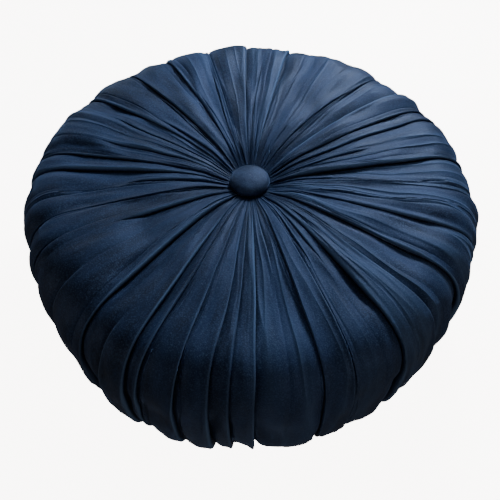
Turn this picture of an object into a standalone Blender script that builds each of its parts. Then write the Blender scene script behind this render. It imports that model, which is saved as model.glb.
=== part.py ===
"""Round pleated velvet seat cushion, tufted through its middle by a pair of covered buttons.

The cover is one tube of velvet, gathered to a small eyelet at the middle of the top and of the underside.
It holds a foam core wrapped in wadding, inside a sewn cotton liner. A loop of waxed twine runs down through
the pad from the wire eye of the top button to that of the bottom one, and draws both faces into a dish.

Metres, +Z up. The origin is the middle of the base, on the plane that the cushion rests on.
"""

import math

import bmesh
import bpy

# Overall sizes of the cushion.
DIAMETER = 0.450
HEIGHT = 0.162
WIDEST_HEIGHT = 0.097

# The rounding between each face and the widest line. An exponent of 2 is an ellipse, and more is squarer.
SHOULDER_WIDTH = 0.060
SHOULDER_EXPONENT = 2.8
HEEL_WIDTH = 0.053
HEEL_EXPONENT = 2.6

# The dish that the twine pulls into each face.
TOP_DISH_DEPTH = 0.030
TOP_DISH_REACH = 0.045
BASE_DISH_DEPTH = 0.030
BASE_DISH_RADIUS = 0.095
BASE_DISH_EXPONENT = 1.65

# Cloth, wadding and thread.
VELVET_THICKNESS = 0.0012
PLEAT_DEPTH = 0.0020
LINER_THICKNESS = 0.0008
WADDING_THICKNESS = 0.012
EYELET_RADIUS = 0.0080
GATHER_THREAD_RADIUS = 0.0005
SEAM_THREAD_RADIUS = 0.0009

# The clearance between any two pieces that touch on the real cushion.
GAP = 0.0003

# Covered buttons. Each is modelled with its rim on its own z = 0 and its dome upwards.
BUTTON_RADIUS = 0.0195
BUTTON_HEIGHT = 0.0135
BUTTON_WAIST = 0.0045
BUTTON_DOME_EXPONENT = 2.2
BUTTON_HEM_TURN = 0.0020
BUTTON_HEM_WIDTH = 0.0030
BUTTON_CLOTH_THICKNESS = 0.0008
BUTTON_PAD_CROWN = 0.0035
BUTTON_PAD_SIDE = 0.0009
BUTTON_SHELL_THICKNESS = 0.0006
BUTTON_PLATE_THICKNESS = 0.0012

# The wire eye, and the twine that loops over it.
WIRE_RADIUS = 0.0007
EYE_HALF_WIDTH = 0.0032
EYE_CORNER_RADIUS = 0.0011
EYE_FOOT_LENGTH = 0.0027
EYE_LEG_DEPTH = 0.0018
EYE_CLEARANCE = 0.0007
TWINE_RADIUS = 0.0008
KNOT_HEIGHT = 0.0032
KNOT_WALL = 0.0015

# How finely round shapes are divided.
COVER_SEGMENTS = 64
PAD_SEGMENTS = COVER_SEGMENTS // 2
BUTTON_SEGMENTS = 20
SHOULDER_STEPS = 4
TOP_STEPS = 5
BASE_STEPS = 3
DOME_STEPS = 4
THREAD_SIDES = 6

# What follows from the values above.
RADIUS = DIAMETER / 2
HALF_HEIGHT = HEIGHT / 2
TOP_FLAT_RADIUS = RADIUS - SHOULDER_WIDTH
BASE_FLAT_RADIUS = RADIUS - HEEL_WIDTH
TWINE_BEND_RADIUS = WIRE_RADIUS + GAP + TWINE_RADIUS
TWINE_HOLE_RADIUS = TWINE_BEND_RADIUS + TWINE_RADIUS + 2 * GAP
COVER_INNER_DEPTH = PLEAT_DEPTH + VELVET_THICKNESS
LINER_OUTER_DEPTH = COVER_INNER_DEPTH + GAP
LINER_INNER_DEPTH = LINER_OUTER_DEPTH + LINER_THICKNESS
WADDING_OUTER_DEPTH = LINER_INNER_DEPTH + GAP
WADDING_INNER_DEPTH = WADDING_OUTER_DEPTH + WADDING_THICKNESS
FOAM_DEPTH = WADDING_INNER_DEPTH + GAP
HEM_RADIUS = BUTTON_RADIUS - BUTTON_HEM_TURN
PLATE_HOLE_RADIUS = EYE_HALF_WIDTH + WIRE_RADIUS + EYE_CLEARANCE

# Name: colour, roughness, metallic.
FINISHES = {
    "navy_velvet": ((0.020, 0.045, 0.115), 0.75, 0.0),
    "calico": ((0.80, 0.77, 0.70), 0.90, 0.0),
    "wadding": ((0.90, 0.90, 0.88), 0.95, 0.0),
    "foam": ((0.86, 0.80, 0.60), 0.90, 0.0),
    "navy_thread": ((0.015, 0.030, 0.080), 0.60, 0.0),
    "white_thread": ((0.88, 0.87, 0.83), 0.60, 0.0),
    "waxed_twine": ((0.62, 0.52, 0.36), 0.55, 0.0),
    "zinc_steel": ((0.62, 0.63, 0.65), 0.35, 1.0),
}


# ---- the outline that every layer follows -------------------------------------------------------------


def top_height(radius):
    """The height of the top face at this radius, dished towards the middle."""
    at_edge = math.exp(-TOP_FLAT_RADIUS / TOP_DISH_REACH)
    return HEIGHT - TOP_DISH_DEPTH * (math.exp(-radius / TOP_DISH_REACH) - at_edge)


def base_height(radius):
    """The height of the underside at this radius: flat where it rests, dished inside that."""
    share = max(0.0, 1 - radius / BASE_DISH_RADIUS)
    return BASE_DISH_DEPTH * share**BASE_DISH_EXPONENT


def geometric_steps(first, last, steps):
    """Radii from first to last whose ratio is constant, so that they crowd towards the middle."""
    return [first * (last / first) ** (i / steps) for i in range(steps + 1)]


def rounding(flat_radius, face_height, exponent, steps):
    """Points of a superellipse quarter from a face's flat part to the widest point, without its ends."""
    points = []
    for i in range(1, steps):
        angle = math.pi / 2 * (1 - i / steps)
        radius = flat_radius + (RADIUS - flat_radius) * math.cos(angle) ** (2 / exponent)
        rise = (face_height - WIDEST_HEIGHT) * math.sin(angle) ** (2 / exponent)
        points.append((radius, WIDEST_HEIGHT + rise))
    return points


class Outline:
    """The cushion's half section as a chain of (radius, height), from the top hole round to the bottom one.

    Every layer is this chain drawn nearer to the middle, so neighbours stay parallel and never cross.
    """

    def __init__(self, square_corners):
        top = [(r, top_height(r)) for r in geometric_steps(EYELET_RADIUS, TOP_FLAT_RADIUS, TOP_STEPS)]
        base = [(r, base_height(r)) for r in geometric_steps(BASE_DISH_RADIUS, EYELET_RADIUS, BASE_STEPS)]
        shoulder = rounding(TOP_FLAT_RADIUS, HEIGHT, SHOULDER_EXPONENT, SHOULDER_STEPS)
        heel = rounding(BASE_FLAT_RADIUS, 0.0, HEEL_EXPONENT, SHOULDER_STEPS)[::-1]
        corner_above = shoulder[SHOULDER_STEPS // 2 - 1]
        corner_below = heel[SHOULDER_STEPS // 2 - 1]
        first = (TWINE_HOLE_RADIUS, top_height(TWINE_HOLE_RADIUS))
        last = (TWINE_HOLE_RADIUS, base_height(TWINE_HOLE_RADIUS))
        side = [*shoulder, (RADIUS, WIDEST_HEIGHT), *heel]
        if not square_corners:
            side = [p for p in side if p not in (corner_above, corner_below)]
        self.points = [first, *top, *side, (BASE_FLAT_RADIUS, 0.0), *base, last]
        self.lengths = [0.0]
        for a, b in zip(self.points, self.points[1:]):
            self.lengths.append(self.lengths[-1] + math.dist(a, b))
        self.end = self.lengths[-1]
        self.eyelets = (self.lengths[1], self.lengths[-2])
        self.seams = (self.nearest(corner_above), self.nearest(corner_below))

    def at(self, length):
        """The point at this length along the chain."""
        for i, (a, b) in enumerate(zip(self.lengths, self.lengths[1:])):
            if length <= b or i == len(self.lengths) - 2:
                share = (length - a) / (b - a)
                p, q = self.points[i], self.points[i + 1]
                return (p[0] + share * (q[0] - p[0]), p[1] + share * (q[1] - p[1]))

    def nearest(self, point):
        """The length along the chain at which it passes nearest to a point."""
        steps = 2000
        lengths = (self.end * i / steps for i in range(steps + 1))
        return min(lengths, key=lambda length: math.dist(self.at(length), point))

    def stretch(self, start, end):
        """The chain from one length to another, with every corner between them."""
        between = [p for p, s in zip(self.points, self.lengths) if start + GAP < s < end - GAP]
        return [self.at(start), *between, self.at(end)]


def inset(point, depth):
    """A point of the outline drawn towards the cushion's middle. The twine hole keeps its radius."""
    radius, height = point
    if radius > TWINE_HOLE_RADIUS:
        radius *= 1 - depth / RADIUS
    return (radius, HALF_HEIGHT + (height - HALF_HEIGHT) * (1 - depth / HALF_HEIGHT))


def layer_loop(chain, outer_depth, inner_depth):
    """The closed section of a layer between two depths."""
    return [inset(p, outer_depth) for p in chain] + [inset(p, inner_depth) for p in reversed(chain)]


# ---- making objects -----------------------------------------------------------------------------------


def clear_scene():
    for obj in list(bpy.data.objects):
        bpy.data.objects.remove(obj)


def finish(name):
    """The material of this name, made once."""
    if name in bpy.data.materials:
        return bpy.data.materials[name]
    colour, roughness, metallic = FINISHES[name]
    material = bpy.data.materials.new(name)
    material.use_nodes = True
    shader = material.node_tree.nodes["Principled BSDF"]
    shader.inputs["Base Color"].default_value = (*colour, 1.0)
    shader.inputs["Roughness"].default_value = roughness
    shader.inputs["Metallic"].default_value = metallic
    return material


def add(name, data, finish_name, parent=None):
    """Links an object with its finish, in its parent's frame if it has one."""
    obj = bpy.data.objects.new(name, data)
    if not data.materials:
        data.materials.append(finish(finish_name))
    bpy.context.scene.collection.objects.link(obj)
    obj.parent = parent
    return obj


def add_in_place(name, mesh, finish_name, parent=None):
    """Adds a piece that is modelled in the cushion's frame, and stays there under a raised parent."""
    obj = add(name, mesh, finish_name, parent)
    if parent:
        obj.location = -parent.location


def add_empty(name, location, rotation=(0.0, 0.0, 0.0)):
    empty = bpy.data.objects.new(name, None)
    empty.location = location
    empty.rotation_euler = rotation
    bpy.context.scene.collection.objects.link(empty)
    return empty


def turned_mesh(name, loop, segments, relief=None):
    """A section turned about Z. A loop that starts and ends on the axis is closed by it.

    relief gives a depth for each point of the loop, by which every second spoke is drawn in.
    """
    bm = bmesh.new()
    depth_layer = bm.verts.layers.float.new("relief")
    verts = [bm.verts.new((radius, 0.0, height)) for radius, height in loop]
    for vert, depth in zip(verts, relief or [0.0] * len(loop)):
        vert[depth_layer] = depth
    on_axis = loop[0][0] == 0.0 and loop[-1][0] == 0.0
    edges = [bm.edges.new(pair) for pair in zip(verts, verts[1:])]
    if not on_axis:
        edges.append(bm.edges.new((verts[-1], verts[0])))
    bmesh.ops.spin(
        bm, geom=[*verts, *edges], cent=(0, 0, 0), axis=(0, 0, 1),
        angle=2 * math.pi, steps=segments, use_merge=True,
    )
    bmesh.ops.remove_doubles(bm, verts=bm.verts, dist=1e-6)
    for vert in bm.verts:
        spoke = round(math.atan2(vert.co.y, vert.co.x) / (2 * math.pi / segments))
        if spoke % 2 and vert[depth_layer] > 0:
            vert.co.x *= 1 - vert[depth_layer] / RADIUS
            vert.co.y *= 1 - vert[depth_layer] / RADIUS
            vert.co.z = HALF_HEIGHT + (vert.co.z - HALF_HEIGHT) * (1 - vert[depth_layer] / HALF_HEIGHT)
    bmesh.ops.recalc_face_normals(bm, faces=bm.faces)
    mesh = bpy.data.meshes.new(name)
    bm.to_mesh(mesh)
    bm.free()
    mesh.shade_smooth()
    mesh.set_sharp_from_angle(angle=math.radians(35))
    return mesh


def ring_section(radius, height, thread_radius):
    """The section of a thread that lies in a circle about Z."""
    angles = [2 * math.pi * i / THREAD_SIDES for i in range(THREAD_SIDES)]
    return [(radius + thread_radius * math.cos(a), height + thread_radius * math.sin(a)) for a in angles]


def wire_curve(name, points, radius, cyclic):
    """A round wire or twine along a chain of points."""
    curve = bpy.data.curves.new(name, "CURVE")
    curve.dimensions = "3D"
    curve.bevel_depth = radius
    curve.bevel_resolution = 2
    curve.use_fill_caps = not cyclic
    spline = curve.splines.new("POLY")
    spline.points.add(len(points) - 1)
    for made, point in zip(spline.points, points):
        made.co = (*point, 1.0)
    spline.use_cyclic_u = cyclic
    return curve


def arc(centre, radius, start, end, steps):
    """(x, z) points of an arc, its angles in degrees, counted from +x towards +z."""
    angles = [math.radians(start + (end - start) * i / steps) for i in range(steps + 1)]
    return [(centre[0] + radius * math.cos(a), centre[1] + radius * math.sin(a)) for a in angles]


# ---- the cover and what it holds ----------------------------------------------------------------------


def pleat_depth_at(point):
    """How deep the cover's pleats are here: none under the top button and where the cushion rests."""
    radius, height = point
    if height > HALF_HEIGHT:
        share = radius / BUTTON_RADIUS - 1
    elif radius > BASE_FLAT_RADIUS:
        share = height / HALF_HEIGHT
    else:
        share = 0.0
    return PLEAT_DEPTH * min(1.0, max(0.0, share))


def make_cover(outline):
    """The velvet tube: pleated outside, smooth inside, open at its two gathered eyelets."""
    chain = outline.stretch(*outline.eyelets)
    relief = [pleat_depth_at(p) for p in chain] + [0.0] * len(chain)
    mesh = turned_mesh("velvet_cover", layer_loop(chain, 0.0, COVER_INNER_DEPTH), COVER_SEGMENTS, relief)
    add("velvet_cover", mesh, "navy_velvet")


def make_gather_thread(name, eyelet, beyond, outward, parent):
    """The drawn thread that closes an end of the tube, lying on the velvet just outside its eyelet.

    beyond is the next point of the outline, and outward is 1 on the top face and -1 on the underside.
    """
    run, rise = beyond[0] - eyelet[0], beyond[1] - eyelet[1]
    length = math.hypot(run, rise)
    run, rise = run / length, rise / length
    along = 3 * GATHER_THREAD_RADIUS
    clear = GATHER_THREAD_RADIUS + GAP
    radius = eyelet[0] + along * run - outward * clear * rise
    height = eyelet[1] + along * rise + outward * clear * run
    section = ring_section(radius, height, GATHER_THREAD_RADIUS)
    add_in_place(name, turned_mesh(name, section, BUTTON_SEGMENTS), "navy_thread", parent)


def make_panels(outline, names, outer_depth, inner_depth, finish_name, seat):
    """A layer as the three pieces it is cut from: top disc, side band and bottom disc."""
    upper, lower = outline.seams
    stretches = [(0.0, upper - GAP / 2), (upper + GAP / 2, lower - GAP / 2), (lower + GAP / 2, outline.end)]
    for name, stretch, parent in zip(names, stretches, (seat, None, None)):
        loop = layer_loop(outline.stretch(*stretch), outer_depth, inner_depth)
        add_in_place(name, turned_mesh(name, loop, PAD_SEGMENTS), finish_name, parent)


def make_seam_threads(outline, seat):
    """The overlocked seams inside the liner's two corners."""
    depth = LINER_INNER_DEPTH + SEAM_THREAD_RADIUS + 2 * GAP
    names = ("liner_top_seam_thread", "liner_bottom_seam_thread")
    for name, seam, parent in zip(names, outline.seams, (seat, None)):
        section = ring_section(*inset(outline.at(seam), depth), SEAM_THREAD_RADIUS)
        add_in_place(name, turned_mesh(name, section, PAD_SEGMENTS), "white_thread", parent)


def make_foam_core(outline):
    """The foam disc, with the hole that the twine is drawn through."""
    loop = [inset(p, FOAM_DEPTH) for p in outline.points]
    add("foam_core", turned_mesh("foam_core", loop, PAD_SEGMENTS), "foam")


# ---- the buttons --------------------------------------------------------------------------------------


def dome(radius, crown, waist):
    """A dome's section from its crown on the axis out to its waist."""
    points = [(0.0, crown)]
    for i in range(1, DOME_STEPS + 1):
        angle = math.pi / 2 * (1 - i / DOME_STEPS)
        out = radius * math.cos(angle) ** (2 / BUTTON_DOME_EXPONENT)
        up = (crown - waist) * math.sin(angle) ** (2 / BUTTON_DOME_EXPONENT)
        points.append((out, waist + up))
    return points


def button_pieces():
    """The pieces of a button, made once and shared by both. {suffix: (mesh or curve, finish)}"""
    cloth, waist = BUTTON_CLOTH_THICKNESS, BUTTON_WAIST
    pad_radius = BUTTON_RADIUS - cloth - GAP
    pad_crown = BUTTON_HEIGHT - cloth - GAP
    shell_radius = pad_radius - BUTTON_PAD_SIDE - GAP
    shell_crown = pad_crown - BUTTON_PAD_CROWN - GAP
    plate_radius = shell_radius - BUTTON_SHELL_THICKNESS - GAP
    floor = cloth + GAP

    hem_edge = HEM_RADIUS - BUTTON_HEM_WIDTH
    skin = dome(BUTTON_RADIUS, BUTTON_HEIGHT, waist)
    skin += [(BUTTON_RADIUS, BUTTON_HEM_TURN), (HEM_RADIUS, 0.0), (hem_edge, 0.0), (hem_edge, cloth)]
    skin += [(HEM_RADIUS, cloth), (BUTTON_RADIUS - cloth, BUTTON_HEM_TURN)]
    skin += dome(BUTTON_RADIUS - cloth, BUTTON_HEIGHT - cloth, waist)[::-1]

    pad_edge = 2 * floor
    pad = dome(pad_radius, pad_crown, waist) + [(pad_radius, pad_edge), (shell_radius + GAP, pad_edge)]
    pad += dome(shell_radius + GAP, shell_crown + GAP, waist)[::-1]

    shell_inner = shell_radius - BUTTON_SHELL_THICKNESS
    shell = dome(shell_radius, shell_crown, waist) + [(shell_radius, floor), (shell_inner, floor)]
    shell += dome(shell_inner, shell_crown - BUTTON_SHELL_THICKNESS, waist)[::-1]

    top = floor + BUTTON_PLATE_THICKNESS
    plate = [(PLATE_HOLE_RADIUS, floor), (plate_radius, floor), (plate_radius, top), (PLATE_HOLE_RADIUS, top)]

    return {
        "velvet": (turned_mesh("button_velvet", skin, BUTTON_SEGMENTS), "navy_velvet"),
        "pad": (turned_mesh("button_pad", pad, BUTTON_SEGMENTS), "wadding"),
        "shell": (turned_mesh("button_shell", shell, BUTTON_SEGMENTS), "zinc_steel"),
        "back_plate": (turned_mesh("button_back_plate", plate, BUTTON_SEGMENTS), "zinc_steel"),
        "wire_eye": (wire_eye_curve(top + GAP + WIRE_RADIUS), "zinc_steel"),
    }


def wire_eye_curve(foot_height):
    """The eye hangs through the back plate's hole, on two feet that lie on the plate's upper side."""
    turn = EYE_HALF_WIDTH + EYE_CORNER_RADIUS
    left_foot = [(-turn - EYE_FOOT_LENGTH, foot_height)]
    left_foot += arc((-turn, foot_height - EYE_CORNER_RADIUS), EYE_CORNER_RADIUS, 90, 0, 3)
    bend = arc((0.0, -EYE_LEG_DEPTH), EYE_HALF_WIDTH, 180, 360, 10)
    right_foot = [(-x, z) for x, z in reversed(left_foot)]
    points = [(x, 0.0, z) for x, z in [*left_foot, *bend, *right_foot]]
    return wire_curve("button_wire_eye", points, WIRE_RADIUS, cyclic=False)


def make_button(prefix, pieces, axis):
    """A button about its own turning axis, which its rim's plane crosses at the axis's origin."""
    for suffix, (data, finish_name) in pieces.items():
        add(f"{prefix}_button_{suffix}", data, finish_name, axis)


# ---- the twine ----------------------------------------------------------------------------------------


def make_twine(top_wire, bottom_wire):
    """One closed loop of twine, over the top eye's wire and under the bottom eye's."""
    upper = arc((0.0, top_wire), TWINE_BEND_RADIUS, 0, 180, 8)
    lower = arc((0.0, bottom_wire), TWINE_BEND_RADIUS, 180, 360, 8)
    points = [(0.0, y, z) for y, z in [*upper, *lower]]
    add("tufting_twine", wire_curve("tufting_twine", points, TWINE_RADIUS, cyclic=True), "waxed_twine")


def make_knot(bottom_wire):
    """The turns of twine that bind both strands together just above the bottom eye."""
    inner = TWINE_BEND_RADIUS + TWINE_RADIUS + GAP
    low = bottom_wire + WIRE_RADIUS + GAP
    middle, outer = low + KNOT_HEIGHT / 2, inner + KNOT_WALL
    section = [(inner, low), (outer, middle - KNOT_HEIGHT / 4), (outer, middle + KNOT_HEIGHT / 4)]
    section += [(inner, low + KNOT_HEIGHT)]
    add("twine_knot", turned_mesh("twine_knot", section, BUTTON_SEGMENTS), "waxed_twine")


def main():
    clear_scene()
    cloth = Outline(square_corners=True)
    padding = Outline(square_corners=False)

    top_seat = top_height(HEM_RADIUS) + GAP
    bottom_seat = base_height(HEM_RADIUS) - GAP
    eye_depth = EYE_LEG_DEPTH + EYE_HALF_WIDTH

    seat = add_empty("seat_top_slide", (0, 0, top_seat))
    top_axis = add_empty("top_button_axis", (0, 0, top_seat))
    bottom_axis = add_empty("bottom_button_axis", (0, 0, bottom_seat), (math.pi, 0, 0))

    make_cover(cloth)
    make_gather_thread("top_gather_thread", cloth.points[1], cloth.points[2], 1, seat)
    make_gather_thread("bottom_gather_thread", cloth.points[-2], cloth.points[-3], -1, None)

    panels = ("liner_top_panel", "liner_side_band", "liner_bottom_panel")
    make_panels(cloth, panels, LINER_OUTER_DEPTH, LINER_INNER_DEPTH, "calico", seat)
    make_seam_threads(cloth, seat)
    layers = ("wadding_top", "wadding_side", "wadding_bottom")
    make_panels(padding, layers, WADDING_OUTER_DEPTH, WADDING_INNER_DEPTH, "wadding", seat)
    make_foam_core(padding)

    pieces = button_pieces()
    make_button("top", pieces, top_axis)
    make_button("bottom", pieces, bottom_axis)
    make_twine(top_seat - eye_depth, bottom_seat + eye_depth)
    make_knot(bottom_seat + eye_depth)


main()
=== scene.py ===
"""A thick round seat cushion in gathered navy velvet, with a covered button tufted into each face.

The cover is built as a maker gathers it: a tube of velvet drawn in to a small eyelet at both ends, whose
fullness falls into knife pleats that run from one button over the shoulder and down the side to the other.
Lengths are in metres. Angles round the cushion are in degrees, anticlockwise from +X seen from above.
"""

import logging
import math
from dataclasses import dataclass, field
from enum import Enum

import bpy
import numpy as np
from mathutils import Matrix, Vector


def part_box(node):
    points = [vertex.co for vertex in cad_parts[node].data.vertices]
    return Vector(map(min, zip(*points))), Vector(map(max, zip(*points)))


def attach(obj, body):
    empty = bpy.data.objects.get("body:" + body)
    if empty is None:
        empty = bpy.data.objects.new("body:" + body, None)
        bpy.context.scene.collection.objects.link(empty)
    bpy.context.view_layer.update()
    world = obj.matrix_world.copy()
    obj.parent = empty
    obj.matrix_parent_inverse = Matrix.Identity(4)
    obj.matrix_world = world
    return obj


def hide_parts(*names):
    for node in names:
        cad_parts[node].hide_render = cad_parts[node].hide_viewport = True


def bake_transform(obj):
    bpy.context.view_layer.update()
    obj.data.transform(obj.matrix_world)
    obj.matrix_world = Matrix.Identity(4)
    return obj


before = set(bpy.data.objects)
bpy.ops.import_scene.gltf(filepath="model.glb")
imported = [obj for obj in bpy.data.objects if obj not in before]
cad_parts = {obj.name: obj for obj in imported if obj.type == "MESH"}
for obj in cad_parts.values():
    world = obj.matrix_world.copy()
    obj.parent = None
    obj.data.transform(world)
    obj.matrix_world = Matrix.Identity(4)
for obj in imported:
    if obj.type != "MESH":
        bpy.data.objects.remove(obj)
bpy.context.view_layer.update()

LOG = logging.getLogger("cushion")
MM = 0.001


# ---- shader maths ---------------------------------------------------------------------------------------


class Wire:
    """An output socket that takes part in Python expressions. Each operation adds a Math node."""

    def __init__(self, graph: "Graph", socket: bpy.types.NodeSocket) -> None:
        """Wraps a socket of a graph."""
        self.graph = graph
        self.socket = socket

    def _math(self, operation: str, first: "Wire | float", second: "Wire | float") -> "Wire":
        """Adds a Math node on two values."""
        return self.graph.add("ShaderNodeMath", {"operation": operation}, {0: first, 1: second})

    def __add__(self, other: "Wire | float") -> "Wire":
        """self + other."""
        return self._math("ADD", self, other)

    def __radd__(self, other: float) -> "Wire":
        """other + self."""
        return self._math("ADD", other, self)

    def __sub__(self, other: "Wire | float") -> "Wire":
        """self - other."""
        return self._math("SUBTRACT", self, other)

    def __rsub__(self, other: float) -> "Wire":
        """other - self."""
        return self._math("SUBTRACT", other, self)

    def __mul__(self, other: "Wire | float") -> "Wire":
        """self * other."""
        return self._math("MULTIPLY", self, other)

    def __rmul__(self, other: float) -> "Wire":
        """other * self."""
        return self._math("MULTIPLY", other, self)

    def __abs__(self) -> "Wire":
        """The size of the value."""
        return self._math("MAXIMUM", self, self * -1.0)

    def clamped(self) -> "Wire":
        """The value held between 0 and 1."""
        return self._math("MINIMUM", self._math("MAXIMUM", self, 0.0), 1.0)


class Graph:
    """A material's node tree under construction."""

    def __init__(self, name: str) -> None:
        """Starts an empty material of this name."""
        self.material = bpy.data.materials.new(name)
        self.material.use_nodes = True
        self.tree = self.material.node_tree
        self.tree.nodes.clear()

    def add(
        self, kind: str, settings: dict | None = None, sockets: dict | None = None, out: int | str = 0
    ) -> Wire:
        """Adds a node.

        Args:
            kind: the node's type.
            settings: its properties. The key "stops" holds a ramp's (position, colour) pairs.
            sockets: values or wires for its inputs, by name or index.
            out: which output to return.

        Returns:
            The chosen output.
        """
        node = self.tree.nodes.new(kind)
        for key, value in (settings or {}).items():
            if key == "stops":
                self._set_stops(node.color_ramp, value)
            else:
                setattr(node, key, value)
        for key, value in (sockets or {}).items():
            if isinstance(value, Wire):
                self.tree.links.new(value.socket, node.inputs[key])
            else:
                node.inputs[key].default_value = value
        return Wire(self, node.outputs[out])

    @staticmethod
    def _set_stops(ramp: bpy.types.ColorRamp, stops: list) -> None:
        """Gives a ramp these stops in place of its own two."""
        while len(ramp.elements) < len(stops):
            ramp.elements.new(1.0)
        for element, (position, colour) in zip(ramp.elements, stops):
            element.position = position
            element.color = colour

    def blend(self, share: Wire | float, first: "Wire | tuple", second: "Wire | tuple") -> Wire:
        """A colour between two others."""
        return self.add("ShaderNodeMix", {"data_type": "RGBA"}, {0: share, 6: first, 7: second}, out=2)

    def place(self) -> Wire:
        """The point's place in the object's own frame, in metres."""
        return self.add("ShaderNodeTexCoord", out="Object")

    def noise(self, scale: float, detail: float = 2.0, rough: float = 0.5, at: Wire | None = None) -> Wire:
        """Fractal noise about 0.5, with this many features to a metre."""
        where = at or self.place()
        sockets = {"Vector": where, "Scale": scale, "Detail": detail, "Roughness": rough}
        return self.add("ShaderNodeTexNoise", None, sockets)

    def stretched(self, across: float, along: float) -> Wire:
        """The place with a vertical stretch, so that noise on it runs in streaks."""
        return self.add("ShaderNodeMapping", None, {"Vector": self.place(), "Scale": (across, across, along)})

    def relief(self, height: Wire, depth: float, under: Wire | None = None) -> Wire:
        """A normal bumped by a height from 0 to 1 over this depth in metres."""
        sockets = {"Height": height, "Distance": depth, "Strength": 1.0}
        if under:
            sockets["Normal"] = under
        return self.add("ShaderNodeBump", None, sockets)

    def surface(self, **sockets: "Wire | float | tuple") -> bpy.types.Material:
        """Closes the tree with a Principled surface.

        Args:
            sockets: its inputs, with underscores in place of the spaces in their names.

        Returns:
            The finished material.
        """
        named = {key.replace("_", " "): value for key, value in sockets.items()}
        shader = self.add("ShaderNodeBsdfPrincipled", None, named)
        self.add_output(shader)
        return self.material

    def add_output(self, shader: Wire) -> None:
        """Links a shader to the material's output."""
        output = self.tree.nodes.new("ShaderNodeOutputMaterial")
        self.tree.links.new(shader.socket, output.inputs["Surface"])


def rgb(red: float, green: float, blue: float) -> tuple[float, float, float, float]:
    """An opaque linear colour."""
    return (red, green, blue, 1.0)


# ---- finishes -------------------------------------------------------------------------------------------


@dataclass(frozen=True)
class Velvet:
    """Short-piled velvet, darker where the pile leans away, with a painted highlight along the crests of its
    folds and painted shade in their hollows.
    """

    name: str = "navy_velvet"
    pile: tuple = rgb(0.0200, 0.0380, 0.0980)
    shaded: tuple = rgb(0.0065, 0.0095, 0.0220)
    crest_highlight_and_grain: tuple = rgb(0.1000, 0.1850, 0.3600)
    sheen: float = 0.30
    folds: bool = True

    def make(self) -> bpy.types.Material:
        """Builds the material. The painted highlight on the crests and the painted shade in the hollows come
        from the cloth's own fold attribute.
        """
        g = Graph(self.name)
        if self.folds:
            nap = g.add("ShaderNodeAttribute", {"attribute_name": "nap"}, out="Vector")
        else:
            nap = g.place()
        streaks = g.noise(70.0, detail=4.0, rough=0.65, at=nap)
        patches = g.noise(16.0, detail=3.0, rough=0.6, at=nap)
        lean = ((streaks * 0.5 + patches * 0.5) * 5.0 - 2.05).clamped()
        colour = g.blend(lean, self.shaded, self.pile)
        if self.folds:
            fold = g.add("ShaderNodeAttribute", {"attribute_name": "fold"}, None, out="Fac")
            # painted shade: the hollows of the folds are darkened towards near black
            hollow = (0.0 - fold).clamped()
            colour = g.blend((hollow * 1.4).clamped() * 0.92, colour, rgb(0.0008, 0.0014, 0.0040))
            # painted highlight: the crests of the folds are painted paler
            colour = g.blend(fold.clamped() * 0.85, colour, self.crest_highlight_and_grain)
        speckle = g.noise(820.0, detail=3.0, rough=0.75)
        # fine grain of the pile as pale and dark specks; the pale specks share the colour of the painted
        # highlight on the crests
        colour = g.blend((speckle * 4.0 - 1.95).clamped() * 0.42, colour, self.crest_highlight_and_grain)
        colour = g.blend((1.75 - speckle * 4.0).clamped() * 0.45, colour, self.shaded)
        pile_bump = g.relief(speckle, 0.34 * MM)
        if self.folds:
            drawn = g.add("ShaderNodeMapping", None, {"Vector": nap, "Scale": (1.0, 1.0, 0.22)})
            crease = 1.0 - (abs(g.noise(52.0, detail=1.5, rough=0.45, at=drawn) - 0.5) * 9.0).clamped()
            patch = ((g.noise(9.0, detail=1.0, at=nap) - 0.45) * 6.0).clamped()
            crease = crease * crease * patch * (1.0 - hollow)
            # painted highlight: paler colour along the ridges of the bumped creases
            colour = g.blend(crease * 0.26, colour, self.crest_highlight_and_grain)
            pile_bump = g.relief(crease, 1.3 * MM, under=pile_bump)
        return g.surface(
            Base_Color=colour,
            Roughness=0.46 + lean * 0.14,
            Normal=g.relief(g.noise(240.0, detail=3.0), 0.18 * MM, under=pile_bump),
            Sheen_Weight=self.sheen,
            Sheen_Roughness=0.34,
            Sheen_Tint=rgb(0.30, 0.50, 1.0),
            Specular_IOR_Level=0.35,
            Specular_Tint=rgb(0.24, 0.45, 1.0),
        )


@dataclass(frozen=True)
class Weave:
    """Plain-woven cloth, such as calico."""

    name: str = "calico"
    yarn: tuple = rgb(0.62, 0.55, 0.42)
    pale: tuple = rgb(0.78, 0.73, 0.62)
    threads_per_metre: float = 2200.0

    def make(self) -> bpy.types.Material:
        """Builds the material from two crossed sets of yarns with a few darker slubs."""
        g = Graph(self.name)
        pitch = self.threads_per_metre * math.pi
        sockets = {"Scale": pitch / 20, "Vector": g.place()}
        sides = [g.add("ShaderNodeTexWave", {"bands_direction": way}, sockets, "Fac") for way in ("X", "Y")]
        weave = sides[0] * 0.5 + sides[1] * 0.5
        slub = g.noise(90.0, detail=4.0, rough=0.65)
        colour = g.blend((weave * 0.6 + slub * 0.6 - 0.1).clamped(), self.yarn, self.pale)
        bumped = g.relief(weave, 0.15 * MM)
        return g.surface(Base_Color=colour, Roughness=0.92, Normal=bumped, Sheen_Weight=0.2)


@dataclass(frozen=True)
class Fluff:
    """Lofted fibre, such as polyester wadding."""

    name: str = "wadding"
    light: tuple = rgb(0.86, 0.86, 0.83)
    shade: tuple = rgb(0.66, 0.67, 0.66)

    def make(self) -> bpy.types.Material:
        """Builds the material from tangled fine streaks."""
        g = Graph(self.name)
        tangle = g.noise(420.0, detail=6.0, rough=0.75)
        loft = g.noise(45.0, detail=3.0)
        colour = g.blend((tangle * 0.7 + loft * 0.5 - 0.1).clamped(), self.shade, self.light)
        bumped = g.relief(tangle, 0.6 * MM)
        return g.surface(Base_Color=colour, Roughness=0.95, Normal=bumped, Sheen_Weight=0.4)


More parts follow.
